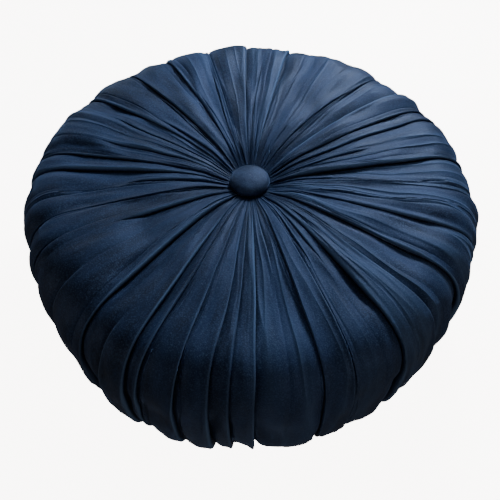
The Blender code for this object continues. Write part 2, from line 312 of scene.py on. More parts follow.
@dataclass(frozen=True)
class OpenCell:
    """Cut polyurethane foam with open cells."""

    name: str = "foam"
    skin: tuple = rgb(0.74, 0.62, 0.33)
    pore_shade: tuple = rgb(0.42, 0.33, 0.15)

    def make(self) -> bpy.types.Material:
        """Builds the material from fine cells, painted darker in their middles as shade in the open pores,
        and yellowed in patches.
        """
        g = Graph(self.name)
        cells = g.add("ShaderNodeTexVoronoi", None, {"Vector": g.place(), "Scale": 900.0}, out="Distance")
        age = g.noise(12.0, detail=2.0)
        # painted shade: darker towards the middles of the cells, where the pores open
        colour = g.blend((cells * 1.1 + age * 0.4 - 0.1).clamped(), self.pore_shade, self.skin)
        return g.surface(Base_Color=colour, Roughness=0.90, Normal=g.relief(cells, 0.5 * MM))


@dataclass(frozen=True)
class Plied:
    """Twisted thread or twine."""

    name: str = "navy_thread"
    ply: tuple = rgb(0.020, 0.036, 0.085)
    groove_shade: tuple = rgb(0.004, 0.008, 0.020)
    plies_per_metre: float = 900.0
    roughness: float = 0.6

    def make(self) -> bpy.types.Material:
        """Builds the material from slanting plies and stray fibres, with painted shade in the grooves between
        the plies.
        """
        g = Graph(self.name)
        slanted = g.add("ShaderNodeMapping", None, {"Vector": g.place(), "Rotation": (0.6, 0.5, 0.4)})
        pitch = self.plies_per_metre / 6
        plies = g.add("ShaderNodeTexWave", None, {"Scale": pitch, "Vector": slanted}, out="Fac")
        fibre = g.noise(2600.0, detail=3.0)
        # painted shade: darker in the grooves between the plies
        colour = g.blend((plies * 0.8 + fibre * 0.3 - 0.05).clamped(), self.groove_shade, self.ply)
        return g.surface(Base_Color=colour, Roughness=self.roughness, Normal=g.relief(plies, 0.2 * MM))


@dataclass(frozen=True)
class PlatedSteel:
    """Pressed steel with a zinc coat, brushed and lightly tarnished."""

    name: str = "zinc_steel"
    bright: tuple = rgb(0.62, 0.63, 0.66)
    dull: tuple = rgb(0.36, 0.37, 0.39)

    def make(self) -> bpy.types.Material:
        """Builds the material from spangle, tarnish and drawing marks."""
        g = Graph(self.name)
        spangle = g.noise(500.0, detail=2.0)
        tarnish = g.noise(70.0, detail=4.0, rough=0.6)
        marks = g.noise(2400.0, detail=2.0, at=g.stretched(1.0, 0.1))
        colour = g.blend((tarnish * 0.8 + spangle * 0.4 - 0.1).clamped(), self.dull, self.bright)
        rough = 0.26 + tarnish * 0.22
        return g.surface(Base_Color=colour, Metallic=1.0, Roughness=rough, Normal=g.relief(marks, 0.03 * MM))


@dataclass(frozen=True)
class PalePaper:
    """The plain pale sweep that the cushion stands on."""

    name: str = "pale_paper"
    colour: tuple = rgb(0.96, 0.925, 0.895)
    glow: float = 9.0

    def make(self) -> bpy.types.Material:
        """Builds the material, lifted a little by its own light so that it stays even."""
        g = Graph(self.name)
        return g.surface(
            Base_Color=self.colour, Roughness=0.95, Emission_Color=self.colour, Emission_Strength=self.glow
        )


class Finishes:
    """Makes each finish once, and hands it out by its name."""

    def __init__(self) -> None:
        """Makes every finish of the cushion."""
        # the second colour of each thread is the painted shade in the grooves between its plies
        twine = Plied("waxed_twine", rgb(0.42, 0.32, 0.18), rgb(0.20, 0.14, 0.07), 620.0, 0.5)
        white = Plied("white_thread", rgb(0.82, 0.81, 0.76), rgb(0.50, 0.49, 0.45))
        button = Velvet("button_velvet", pile=rgb(0.0400, 0.0650, 0.1400), sheen=0.5, folds=False)
        cloths = [Velvet(), button, Weave(), Fluff(), OpenCell()]
        made = [*cloths, Plied(), white, twine, PlatedSteel(), PalePaper()]
        self.by_name = {finish.name: finish.make() for finish in made}

    def dress(self, obj: bpy.types.Object, name: str) -> None:
        """Gives an object one finish all over."""
        obj.data.materials.clear()
        obj.data.materials.append(self.by_name[name])


# ---- mesh helpers ---------------------------------------------------------------------------------------


def smoothstep(low: float, high: float, value: np.ndarray) -> np.ndarray:
    """A smooth ramp from 0 at low to 1 at high."""
    share = np.clip((value - low) / (high - low), 0.0, 1.0)
    return share * share * (3 - 2 * share)


def ring_grid_mesh(name: str, points: np.ndarray, close_rows: bool = False) -> bpy.types.Mesh:
    """A smooth mesh over a grid of points whose columns close into a ring.

    Args:
        name: the mesh's name.
        points: rows by columns by 3.
        close_rows: whether the last row joins the first, as on a torus.

    Returns:
        The mesh, its normals outward when the rows run from the top down the outside.
    """
    rows, columns = points.shape[:2]
    index = np.arange(rows * columns).reshape(rows, columns)
    below = np.roll(index, -1, axis=0) if close_rows else index[1:]
    above = index if close_rows else index[:-1]
    quads = np.stack([above, below, np.roll(below, -1, axis=1), np.roll(above, -1, axis=1)], axis=-1)
    mesh = bpy.data.meshes.new(name)
    mesh.from_pydata(points.reshape(-1, 3).tolist(), [], quads.reshape(-1, 4).tolist())
    mesh.shade_smooth()
    mesh.update()
    return mesh


def turned(name: str, chain: np.ndarray, segments: int, close_rows: bool = False) -> bpy.types.Mesh:
    """A (radius, height) chain turned about Z."""
    angles = np.linspace(0.0, 2 * math.pi, segments, endpoint=False)
    points = np.empty((len(chain), segments, 3))
    points[..., 0] = chain[:, :1] * np.cos(angles)
    points[..., 1] = chain[:, :1] * np.sin(angles)
    points[..., 2] = chain[:, 1:]
    return ring_grid_mesh(name, points, close_rows)


def hand_over(obj: bpy.types.Object, node: str, body: str | None = None) -> None:
    """Puts a piece in its CAD node's place.

    Args:
        obj: the piece.
        node: the CAD node that it stands for.
        body: what it rides on. A soft piece has none, and sinks between the still base and the pressed top.
    """
    if body:
        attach(obj, body)
    else:
        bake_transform(obj)
    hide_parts(node)


def add_object(name: str, data: bpy.types.ID) -> bpy.types.Object:
    """Links a new object to the scene."""
    obj = bpy.data.objects.new(name, data)
    bpy.context.scene.collection.objects.link(obj)
    return obj


# ---- the outline of the stuffed cushion -----------------------------------------------------------------


@dataclass(frozen=True)
class Section:
    """The half section that the stuffed cover follows, from the top eyelet round to the bottom one."""

    radius: float
    height: float
    widest: float = 0.097
    shoulder_width: float = 0.050
    shoulder_square: float = 2.8
    heel_width: float = 0.040
    heel_square: float = 2.9
    dish_depth: float = 0.030
    dish_reach: float = 0.045
    hollow_depth: float = 0.030
    hollow_radius: float = 0.095
    hollow_power: float = 1.65
    eyelet: float = 0.0065
    steps: int = 240

    def top(self, radius: np.ndarray) -> np.ndarray:
        """The height of the top face, dished towards the button."""
        at_edge = math.exp(-(self.radius - self.shoulder_width) / self.dish_reach)
        return self.height - self.dish_depth * (np.exp(-radius / self.dish_reach) - at_edge)

    def base(self, radius: np.ndarray) -> np.ndarray:
        """The height of the underside, hollowed towards the lower button."""
        return self.hollow_depth * np.clip(1 - radius / self.hollow_radius, 0, 1) ** self.hollow_power

    def rounding(self, flat: float, face: float, square: float) -> np.ndarray:
        """The rounding from a face's flat to the widest line."""
        angle = np.linspace(math.pi / 2, 0.0, self.steps)
        out = flat + (self.radius - flat) * np.cos(angle).clip(0) ** (2 / square)
        up = self.widest + (face - self.widest) * np.sin(angle) ** (2 / square)
        return np.stack([out, up], axis=1)

    def chain(self) -> np.ndarray:
        """The whole half section as close-set (radius, height) points."""
        top_flat, base_flat = self.radius - self.shoulder_width, self.radius - self.heel_width
        top_radii = np.linspace(self.eyelet, top_flat, self.steps)
        base_radii = np.linspace(base_flat, self.eyelet, self.steps)
        shoulder = self.rounding(top_flat, self.height, self.shoulder_square)
        heel = self.rounding(base_flat, 0.0, self.heel_square)[::-1]
        top = np.stack([top_radii, self.top(top_radii)], axis=1)
        base = np.stack([base_radii, self.base(base_radii)], axis=1)
        return np.concatenate([top, shoulder[1:], heel[1:], base[1:]])


class Rows:
    """The rows of the cover's grid: where each lies along the section, and which way is outward there."""

    def __init__(self, section: Section, counts: dict[str, int]) -> None:
        """Spaces the rows.

        Args:
            section: the outline to follow.
            counts: how many rows go to each stretch, from the top eyelet to the bottom one.
        """
        chain = section.chain()
        run = np.concatenate([[0.0], np.cumsum(np.linalg.norm(np.diff(chain, axis=0), axis=1))])
        n = section.steps
        self.marks = {
            "start": 0.0,
            "face": run[int(n * 0.42)],
            "shoulder": run[n - 1],
            "widest": run[2 * n - 2],
            "heel": run[3 * n - 3],
            "hollow": float(np.interp(0.0, [-1.0, 1.0], [run[3 * n - 3], run[-1]])),
            "end": run[-1],
        }
        stops = list(self.marks.values())
        parts = [np.linspace(a, b, k, endpoint=False) for a, b, k in zip(stops, stops[1:], counts.values())]
        self.s = np.concatenate([*parts, [stops[-1]]])
        self.r = np.interp(self.s, run, chain[:, 0])
        self.z = np.interp(self.s, run, chain[:, 1])
        tangent = np.stack([np.gradient(self.r, self.s), np.gradient(self.z, self.s)], axis=1)
        tangent /= np.linalg.norm(tangent, axis=1)[:, None]
        self.out_r, self.out_z = -tangent[:, 1], tangent[:, 0]

    def window(self, rise: tuple[float, float], fall: tuple[float, float]) -> np.ndarray:
        """A weight along the rows that rises over one stretch and falls over another."""
        return smoothstep(*rise, self.s) * (1 - smoothstep(*fall, self.s))


# ---- settling -------------------------------------------------------------------------------------------


@dataclass
class Settling:
    """Lets loose cloth settle over its stuffing between the pleats that hold it, by cloth simulation."""

    runs: np.ndarray
    columns: int = 440
    step: float = 8.0 * MM
    frames: int = 10
    slack: float = 0.08
    bend: float = 0.08
    pressure: float = 3.0
    limit: float = 4.5 * MM
    taut: float = 13.0 * MM
    gain: float = 1.5

    def settle(self, grid: np.ndarray, along: np.ndarray, hold: np.ndarray) -> np.ndarray:
        """Moves a cover's grid as its cloth settles.

        Args:
            grid: the cover's points, rows by columns by 3.
            along: each point's angle in the cloth, growing along every row.
            hold: how firmly each point is held, from 0 to 1.

        Returns:
            The moved points.
        """
        runs = np.arange(self.runs[0] + 0.012, self.runs[-1] - 0.012, self.step)
        angles = np.linspace(0, 2 * math.pi, self.columns, endpoint=False)
        start = self.resample(grid, along, runs, angles)
        firm = self.resample(hold[..., None], along, runs, angles)[..., 0]
        firm = np.clip(firm * 1.15, 0.02, 1.0)
        firm[:3] = firm[-3:] = 1.0
        move = self.levelled(self.simulate(start, firm) - start, angles) * self.gain
        size = np.linalg.norm(move, axis=-1, keepdims=True)
        move *= self.limit * np.tanh(size / self.limit) / np.maximum(size, 1e-9)
        held = self.limit / MM
        LOG.info("settling: simulated moves up to %.1f mm, held under %.1f mm", size.max() / MM, held)
        return grid + self.spread(move, runs, angles, along) * (1 - 0.85 * hold[..., None])

    def resample(
        self, values: np.ndarray, along: np.ndarray, runs: np.ndarray, angles: np.ndarray
    ) -> np.ndarray:
        """Values read off at even runs and angles."""
        rows = np.empty((len(self.runs), len(angles), values.shape[-1]))
        for i, (row, at) in enumerate(zip(values, along)):
            turn = np.mod(at, 2 * math.pi)
            order = np.argsort(turn)
            for c in range(values.shape[-1]):
                rows[i, :, c] = np.interp(angles, turn[order], row[order, c], period=2 * math.pi)
        place = np.interp(runs, self.runs, np.arange(len(self.runs)))
        low = np.minimum(place.astype(int), len(self.runs) - 2)
        part = (place - low)[:, None, None]
        return rows[low] * (1 - part) + rows[low + 1] * part

    @staticmethod
    def levelled(move: np.ndarray, angles: np.ndarray) -> np.ndarray:
        """The moves without each row's own swelling, so that the cushion keeps its outline."""
        ring = np.stack([np.cos(angles), np.sin(angles)], axis=-1)
        swelling = (move[..., :2] * ring).sum(axis=-1).mean(axis=1)
        level = move.copy()
        level[..., :2] -= swelling[:, None, None] * ring
        level[..., 2] -= move[..., 2].mean(axis=1, keepdims=True)
        return level

    def spread(self, move: np.ndarray, runs: np.ndarray, angles: np.ndarray, along: np.ndarray) -> np.ndarray:
        """The settled grid's moves at the cover's own points, evened out along the pull of the cloth."""
        weight = np.exp(-0.5 * ((self.runs[:, None] - runs[None, :]) / self.taut) ** 2)
        weight /= weight.sum(axis=1, keepdims=True)
        even = np.einsum("ik,kjc->ijc", weight, move)
        ease = smoothstep(0.0, 0.03, self.runs - self.runs[0])
        ease *= 1 - smoothstep(-0.03, 0.0, self.runs - self.runs[-1])
        turn = np.mod(along, 2 * math.pi) / (2 * math.pi) * self.columns
        left = turn.astype(int) % self.columns
        across = (turn - np.floor(turn))[..., None]
        row = np.arange(len(self.runs))[:, None]
        right = (left + 1) % self.columns
        return (even[row, left] * (1 - across) + even[row, right] * across) * ease[:, None, None]

    def simulate(self, start: np.ndarray, firm: np.ndarray) -> np.ndarray:
        """Runs the cloth.

        Args:
            start: where the cloth begins.
            firm: how firmly each point is held, from 0 to 1.

        Returns:
            Where its points end.
        """
        obj = add_object("settling_cloth", ring_grid_mesh("settling_cloth", start))
        group = obj.vertex_groups.new(name="hold")
        levels = np.round(firm.ravel() * 20).astype(int)
        for level in np.unique(levels):
            group.add(np.nonzero(levels == level)[0].tolist(), float(level) / 20, "REPLACE")
        cloth = obj.modifiers.new("cloth", "CLOTH")
        cloth.settings.quality = 4
        cloth.settings.mass = 0.15
        cloth.settings.air_damping = 4.0
        cloth.settings.tension_stiffness = cloth.settings.compression_stiffness = 22.0
        cloth.settings.shear_stiffness = 8.0
        cloth.settings.bending_stiffness = self.bend
        cloth.settings.use_pressure = True
        cloth.settings.uniform_pressure_force = self.pressure
        cloth.settings.vertex_group_mass = "hold"
        cloth.settings.pin_stiffness = 1.0
        cloth.settings.shrink_min = -self.slack
        cloth.settings.effector_weights.gravity = 0.0
        cloth.collision_settings.use_collision = False
        cloth.point_cache.frame_start = 1
        cloth.point_cache.frame_end = self.frames
        scene = bpy.context.scene
        for frame_number in range(1, self.frames + 1):
            scene.frame_set(frame_number)
        shape = obj.evaluated_get(bpy.context.evaluated_depsgraph_get()).to_mesh()
        ends = np.empty(len(shape.vertices) * 3, dtype=np.float32)
        shape.vertices.foreach_get("co", ends)
        scene.frame_set(1)
        mesh = obj.data
        bpy.data.objects.remove(obj)
        bpy.data.meshes.remove(mesh)
        return ends.astype(float).reshape(start.shape)


# ---- the velvet cover -----------------------------------------------------------------------------------


class Lean(Enum):
    """Which way a pleat's lip lies over its neighbour, seen from outside."""

    RIGHT = 1
    LEFT = -1


class Reach(Enum):
    """How far a pleat runs."""

    WHOLE = "from button to button"
    FACE = "across the faces, dying out before the shoulder"
    INNER = "close round the buttons"
    SIDE = "down the side"


@dataclass(frozen=True)
class Pleat:
    """One fold line of the cover."""

    angle: float
    lean: Lean
    depth: float
    reach: Reach


R, L = Lean.RIGHT, Lean.LEFT
WHOLE, FACE, INNER, SIDE = Reach.WHOLE, Reach.FACE, Reach.INNER, Reach.SIDE

MAIN_PLEATS = [
    Pleat(2, L, 1.5, WHOLE), Pleat(12, L, 0.5, FACE), Pleat(18, L, 0.6, WHOLE),
    Pleat(25, L, 1.2, WHOLE), Pleat(35, R, 1.2, WHOLE), Pleat(46, R, 1.0, WHOLE),
    Pleat(51, L, 0.7, FACE), Pleat(60, R, 0.4, INNER), Pleat(70, R, 0.8, WHOLE),
    Pleat(78, L, 1.1, WHOLE), Pleat(88, R, 0.5, FACE), Pleat(93, L, 0.6, WHOLE),
    Pleat(106, L, 1.1, WHOLE), Pleat(110, R, 0.6, FACE), Pleat(119, R, 1.0, WHOLE),
    Pleat(131, R, 0.9, WHOLE), Pleat(135, R, 0.5, FACE), Pleat(145, R, 1.1, WHOLE),
    Pleat(153, R, 0.6, FACE), Pleat(163, R, 0.4, FACE), Pleat(172, R, 1.3, WHOLE),
    Pleat(179, R, 0.7, WHOLE), Pleat(186, R, 1.0, FACE), Pleat(191, L, 0.5, WHOLE),
    Pleat(198, R, 0.9, WHOLE), Pleat(206, R, 0.5, SIDE), Pleat(212, R, 1.1, FACE),
    Pleat(218, L, 0.6, SIDE), Pleat(229, R, 1.3, WHOLE), Pleat(236, L, 0.7, SIDE),
    Pleat(243, R, 0.9, WHOLE), Pleat(247, R, 1.1, WHOLE), Pleat(255, R, 1.0, WHOLE),
    Pleat(263, R, 0.7, WHOLE), Pleat(267, R, 0.5, WHOLE), Pleat(272, R, 0.8, WHOLE),
    Pleat(283, R, 0.9, FACE), Pleat(287, L, 0.9, WHOLE), Pleat(294, R, 1.0, WHOLE),
    Pleat(302, L, 0.8, FACE), Pleat(307, L, 1.3, WHOLE), Pleat(317, R, 0.7, WHOLE),
    Pleat(327, L, 1.4, WHOLE), Pleat(331, R, 0.6, FACE), Pleat(339, L, 0.8, WHOLE),
    Pleat(344, R, 0.5, FACE), Pleat(352, R, 0.9, WHOLE),
]


@dataclass
class PleatShape:
    """The cross-section of a full-sized pleat, and how its height and hollow die away."""

    lip: float = 2.5 * MM
    hollow: float = 4.4 * MM
    turn: float = 1.7 * MM
    overhang: float = 1.3 * MM
    tuck: float = 1.3 * MM
    lip_fade: float = 8.0 * MM
    hollow_fade: float = 3.2 * MM
    valley_fade: float = 7.5 * MM
    tuck_fade: float = 2.5 * MM
    full_panel: float = 17.0 * MM
    lip_stops: tuple = (0.45 * MM, 0.9 * MM, 1.35 * MM, 2.0 * MM, 4.5 * MM)
    hollow_stops: tuple = (0.8 * MM, 1.8 * MM, 3.3 * MM, 5.6 * MM, 9.0 * MM)

    def fade(self, depth: np.ndarray) -> np.ndarray:
        """How far a pleat's hollow reaches. The deepest pleats lie beside a broad valley."""
        return self.hollow_fade + (self.valley_fade - self.hollow_fade) * smoothstep(0.55, 1.35, depth)

    def lip_side(self, x: np.ndarray, size: np.ndarray, depth: np.ndarray) -> tuple:
        """The side whose lip stands up and rolls over the fold line.

        Args:
            x: the distance into this side's panel from the fold line.
            size: the pleat's size across, 1 where it has full room.
            depth: how deep the pleat is, 1 for an ordinary one.

        Returns:
            The rise outward, the shift into this side's panel, and the painted light and shade, high on the
            lip's rolled edge and low at the fold line.
        """
        u = x / size
        turn = np.clip(u / self.turn, 0, 1)
        high = size**0.55 * depth
        beyond = np.exp(-np.clip(u - self.turn, 0, None) / self.lip_fade)
        rolled = -self.hollow + (self.lip + self.hollow) * smoothstep(0, 1, turn)
        rise = rolled * np.where(u < self.turn, 1, 0)
        rise = rise + self.lip * beyond * np.where(u < self.turn, 0, 1)
        shift = self.tuck * (1 - turn) ** 2 - self.overhang * np.sin(math.pi * turn)
        # painted highlight on the lip's rolled edge, and painted shade right at the fold line beneath it
        light_shade_mask = 1.1 * np.exp(-(((u - 0.72 * self.turn) / (0.36 * self.turn)) ** 2)) - 1.2 * (1 - turn) ** 2.5
        light_shade_mask = light_shade_mask * smoothstep(0.08, 0.40, size)
        return rise * high, shift * size * np.minimum(depth, 1.2), light_shade_mask * np.clip(depth, 0, 1)

    def hollow_side(self, x: np.ndarray, size: np.ndarray, depth: np.ndarray) -> tuple:
        """The side that runs down and in under its neighbour's lip. It returns what lip_side returns."""
        u = x / size
        high = size**0.55 * depth
        rise = -self.hollow * np.exp(-((u / self.fade(depth)) ** 1.15))
        shift = -self.tuck * np.exp(-u / self.tuck_fade)
        # painted shade in the hollow beside the fold line
        light_shade_mask = -1.25 * np.exp(-((u / (0.62 * self.fade(depth))) ** 1.4)) * smoothstep(0.08, 0.40, size)
        return rise * high, shift * size * np.minimum(depth, 1.2), light_shade_mask * np.clip(depth, 0, 1)


ROW_COUNTS = {"start": 19, "face": 14, "shoulder": 20, "widest": 20, "heel": 7, "hollow": 8}


@dataclass
class Cover:
    """The gathered velvet tube over the whole cushion."""

    section: Section
    button_radius: float
    shape: PleatShape = field(default_factory=PleatShape)
    seed: int = 11
    inner_gap: float = 7.5
    middle_columns: int = 4
    puff: float = 0.045
    tilt: float = 1.3 * MM
    floor_give: float = 0.8 * MM
    drape: float = 2.2 * MM
    lift: float = 2.0 * MM
    swells: tuple = (
        (249, 19, 4.8 * MM),
        (206, 18, -4.5 * MM),
        (300, 14, 0.8 * MM),
        (340, 16, -2.5 * MM),
        (120, 20, -2.0 * MM),
    )
    rows: dict = field(default_factory=lambda: dict(ROW_COUNTS))

    def pleats(self) -> list[Pleat]:
        """The main pleats, with extra gathers round the buttons where these leave a wide gap."""
        random = np.random.default_rng(self.seed)
        made: list[Pleat] = []
        for pleat, following in zip(MAIN_PLEATS, [*MAIN_PLEATS[1:], MAIN_PLEATS[0]]):
            made.append(pleat)
            gap = (following.angle - pleat.angle) % 360
            extra = int(gap // self.inner_gap)
            for i in range(extra):
                angle = pleat.angle + gap * (i + 1) / (extra + 1) + random.uniform(-0.6, 0.6)
                lean = Lean(int(random.choice([-1, 1])))
                made.append(Pleat(angle, lean, random.uniform(0.5, 0.95), INNER))
        return sorted(made, key=lambda p: p.angle)

    def depths(self, rows: Rows, pleats: list[Pleat], lows: np.ndarray) -> np.ndarray:
        """How deep each pleat is on each row, rows by pleats."""
        m = rows.marks
        rim = float(np.interp(self.button_radius, rows.r[: len(rows.r) // 2], rows.s[: len(rows.s) // 2]))
        whole = 0.15 + 0.85 * smoothstep(rim - 2 * MM, rim + 9 * MM, rows.s)
        over_shoulder = (m["shoulder"] - 0.01, m["shoulder"] + 0.015)
        whole *= 1 - 0.40 * rows.window(over_shoulder, (m["widest"] - 0.04, m["widest"]))
        down_side = (m["widest"] - 0.02, m["widest"] + 0.01)
        whole *= 1 + 0.25 * rows.window(down_side, (m["heel"] - 0.02, m["heel"]))
        whole *= 1 - 0.65 * smoothstep(m["heel"] - 0.035, m["heel"] + 0.01, rows.s)
        result = []
        for pleat, low in zip(pleats, lows):
            if pleat.reach is FACE:
                fade = self.face_end(m, low)
                underneath = smoothstep(m["end"] - 0.12, m["end"] - 0.08, rows.s)
                along = 1 - smoothstep(fade - 0.03, fade, rows.s) * (1 - underneath)
            elif pleat.reach is INNER:
                fade = self.inner_end(low)
                along = 1 - smoothstep(fade - 0.02, fade + 0.01, rows.s)
                along = along + smoothstep(m["end"] - fade - 0.01, m["end"] - fade + 0.02, rows.s)
            elif pleat.reach is SIDE:
                start = m["shoulder"] + 0.012 * low
                along = rows.window((start, start + 0.03), (m["heel"] + 0.02, m["heel"] + 0.05))
            else:
                along = np.ones_like(rows.s)
                along = along * (1 + 0.25 * np.sin(rows.s / 0.05 + 6.28 * low))
            result.append(pleat.depth * along * whole)
        return np.stack(result, axis=1)

    @staticmethod
    def face_end(marks: dict[str, float], low: float) -> float:
        """Where a pleat that stays on the face dies out."""
        return marks["face"] + (marks["shoulder"] - marks["face"]) * (0.45 + 0.5 * low)

    @staticmethod
    def inner_end(low: float) -> float:
        """Where a short pleat by the button dies out."""
        return 0.040 + 0.075 * low

    def merging(
        self, rows: Rows, pleats: list[Pleat], angle: np.ndarray, lows: np.ndarray
    ) -> np.ndarray:
        """The drift of each dying pleat towards its nearer neighbour, which it runs into."""
        after = np.diff(angle, append=angle[0] + 2 * math.pi)
        before = np.roll(after, 1)
        dying = np.array([p.reach in (FACE, INNER) for p in pleats])
        firm_after, firm_before = ~np.roll(dying, -1), ~np.roll(dying, 1)
        to_after = after * np.where(firm_after, 1.0, 0.4)
        to_before = before * np.where(firm_before, 1.0, 0.4)
        target = np.where(after < before, to_after, -to_before)
        drift = np.zeros((len(rows.s), len(pleats)))
        for i, (pleat, low) in enumerate(zip(pleats, lows)):
            if dying[i]:
                end = self.face_end(rows.marks, low) if pleat.reach is FACE else self.inner_end(low)
                drift[:, i] = 0.5 * target[i] * smoothstep(0.35 * end, 1.05 * end, rows.s)
        return drift

    def lines(
        self, rows: Rows, pleats: list[Pleat], random: np.random.Generator, lows: np.ndarray
    ) -> np.ndarray:
        """The angle of each fold line on each row, in radians, rows by pleats."""
        angle = np.radians([p.angle for p in pleats])
        after = np.diff(angle, append=angle[0] + 2 * math.pi)
        gap = np.minimum(after, np.diff(angle, prepend=angle[-1] - 2 * math.pi))
        reach = np.minimum(0.12 * gap, math.radians(1.8))
        phase = random.uniform(0, 2 * math.pi, (2, len(pleats)))
        pace = random.uniform(0.07, 0.15, len(pleats))
        away = smoothstep(0.02, 0.10, rows.s)[:, None]
        wander = np.sin(rows.s[:, None] / pace + phase[0]) * away
        swirl = np.zeros((len(rows.s), len(pleats)))
        for turns, size in ((2, 1.6), (3, 1.1), (5, 0.8)):
            start = random.uniform(0, 2 * math.pi)
            swirl += math.radians(size) * np.sin(turns * angle + start + rows.s[:, None] / 0.11)
        return angle + wander * reach + swirl + self.merging(rows, pleats, angle, lows)

    def ripples(self, rows: Rows, theta: np.ndarray, random: np.random.Generator) -> np.ndarray:
        """Soft creases that run with the pleats, and small puckers where the cloth turns the shoulder."""
        s = rows.s[:, None, None] if theta.ndim == 3 else rows.s[:, None]
        m = rows.marks
        r = rows.r.reshape(s.shape)
        total = np.zeros_like(theta)
        for turns in (13, 19, 29, 37):
            start = random.uniform(0, 2 * math.pi, 2)
            patch = np.sin(theta * random.integers(3, 9) + s / random.uniform(0.03, 0.06) + start[0])
            total += 0.6 * MM * np.sin(turns * theta + start[1] + 1.5 * np.sin(s / 0.05 + start[0])) * patch
        fine = np.zeros_like(theta)
        for turns in (90, 131):
            start = random.uniform(0, 2 * math.pi, 2)
            patch = np.clip(np.sin(theta * random.integers(5, 13) + s / 0.02 + start[0]), 0, 1)
            fine += 0.12 * MM * np.sin(turns * theta + s / 0.012 + start[1]) * patch
        shoulder = np.exp(-(((s - m["shoulder"] - 0.015) / 0.03) ** 2))
        quiet = smoothstep(0.02, 0.07, r)
        return total * quiet + fine * (0.35 + 1.4 * shoulder) * quiet

    def points(self) -> tuple[np.ndarray, np.ndarray, np.ndarray]:
        """The cover's grid.

        Returns:
            Its points, rows by columns by 3, the painted light and shade of the folds, 1 where the velvet is
            painted paler on the crests and -1 where it is painted darker in the hollows, and each point's
            place in the cloth, drawn out so that patterns on it run with the folds.
        """
        random = np.random.default_rng(self.seed + 1)
        pleats = self.pleats()
        rows = Rows(self.section, self.rows)
        lows = random.uniform(0.0, 1.0, len(pleats))
        line = self.lines(rows, pleats, random, lows)
        depth = self.depths(rows, pleats, lows)
        r = rows.r[:, None]
        following = np.roll(line, -1, axis=1)
        following[:, -1] += 2 * math.pi
        panel = np.maximum((following - line) * r, 0.1 * MM)
        size = np.minimum(np.minimum(panel, np.roll(panel, 1, axis=1)) / self.shape.full_panel, 1.0)
        next_size, next_depth = np.roll(size, -1, axis=1), np.roll(depth, -1, axis=1)
        leans = np.array([p.lean.value for p in pleats])
        lip_left = leans == -1
        lip_right = np.roll(leans, -1) == 1
        lips, hollows = np.array(self.shape.lip_stops), np.array(self.shape.hollow_stops)
        spread = (self.shape.fade(np.abs(depth)) / self.shape.hollow_fade)[..., None] ** 0.5
        left = np.where(lip_left[:, None], lips, hollows * spread) * size[..., None]
        next_spread = np.roll(spread, -1, axis=1)
        right = np.where(lip_right[:, None], lips, hollows * next_spread) * next_size[..., None]
        share = np.arange(1, self.middle_columns + 1) / (self.middle_columns + 1)
        wide = panel[..., None]
        inner, outer = left[..., -1:], wide - right[..., -1:]
        middle = inner + (outer - inner) * share
        x = np.concatenate([np.zeros_like(wide), left, middle, (wide - right)[..., ::-1]], axis=2)
        rise, shift, light_shade_mask = self.edges(x, wide, size, next_size, depth, next_depth, lip_left, lip_right)
        theta = line[..., None] + (x + shift) / rows.r[:, None, None]
        part = np.clip(x / wide, 0, 1)
        bulge = self.puff * np.minimum(wide, 0.032) * (4 * part * (1 - part)) ** 0.8
        ends = [np.where(lip_left, 1.0, -1.0) * depth, np.where(lip_right, 1.0, -1.0) * next_depth]
        tilted = (1 - part) * ends[0][..., None] + part * ends[1][..., None]
        bulge = bulge + self.tilt * np.minimum(wide / 0.022, 1.0) * tilted
        hang = self.hang(rows, x, wide, pleats)
        turn = line[..., None] + x / rows.r[:, None, None]
        creases = self.ripples(rows, theta, random) * (0.35 + 0.65 * part * (1 - part) * 4)
        rise = rise + bulge + self.lifted(rows) + self.swelling(rows, turn) - hang + creases
        rise = rise.reshape(len(rows.s), -1)
        theta = theta.reshape(len(rows.s), -1)
        out = rows.r[:, None] + rise * rows.out_r[:, None]
        up = rows.z[:, None] + rise * rows.out_z[:, None]
        grid = np.stack([out * np.cos(theta), out * np.sin(theta), up], axis=-1)
        along = turn.reshape(theta.shape)
        near = np.exp(-((x / (0.16 * wide)) ** 2)) * np.clip(depth, 0, 1)[..., None]
        far = np.exp(-(((wide - x) / (0.16 * wide)) ** 2)) * np.clip(next_depth, 0, 1)[..., None]
        hold = np.maximum(near, far).reshape(theta.shape)
        grid = Settling(rows.s).settle(grid, along, hold)
        grid[..., 2] = self.resting(grid[..., 2])
        run = np.broadcast_to(0.22 * rows.s[:, None], along.shape)
        nap = np.stack([0.18 * np.cos(along), 0.18 * np.sin(along), run], axis=-1)
        return grid, light_shade_mask.reshape(len(rows.s), -1), nap

    def lifted(self, rows: Rows) -> np.ndarray:
        """How far the stuffing lifts the faces between the button and the shoulder."""
        m = rows.marks
        low = smoothstep(m["widest"] + 0.02, m["heel"] - 0.01, rows.s)
        upper = 1 - smoothstep(m["shoulder"], m["widest"] - 0.02, rows.s)
        return (self.lift * smoothstep(0.026, 0.050, rows.r) * (upper + low))[:, None, None]

    def swelling(self, rows: Rows, turn: np.ndarray) -> np.ndarray:
        """The uneven fullness of the side, where the stuffing stands out or gives way."""
        m = rows.marks
        swell = np.zeros_like(turn)
        for middle, reach, out in self.swells:
            off = np.angle(np.exp(1j * (turn - math.radians(middle))))
            swell += out * np.exp(-((off / math.radians(reach)) ** 2))
        side = smoothstep(m["shoulder"], m["widest"], rows.s)
        side = side * (1 - smoothstep(m["heel"], m["heel"] + 0.03, rows.s))
        return swell * side[:, None, None]

    def resting(self, up: np.ndarray) -> np.ndarray:
        """Heights with the folds pressed flat where they would reach below the floor."""
        soft = self.floor_give * np.exp(np.minimum(up / self.floor_give - 1, 0))
        return np.where(up < self.floor_give, soft, up)

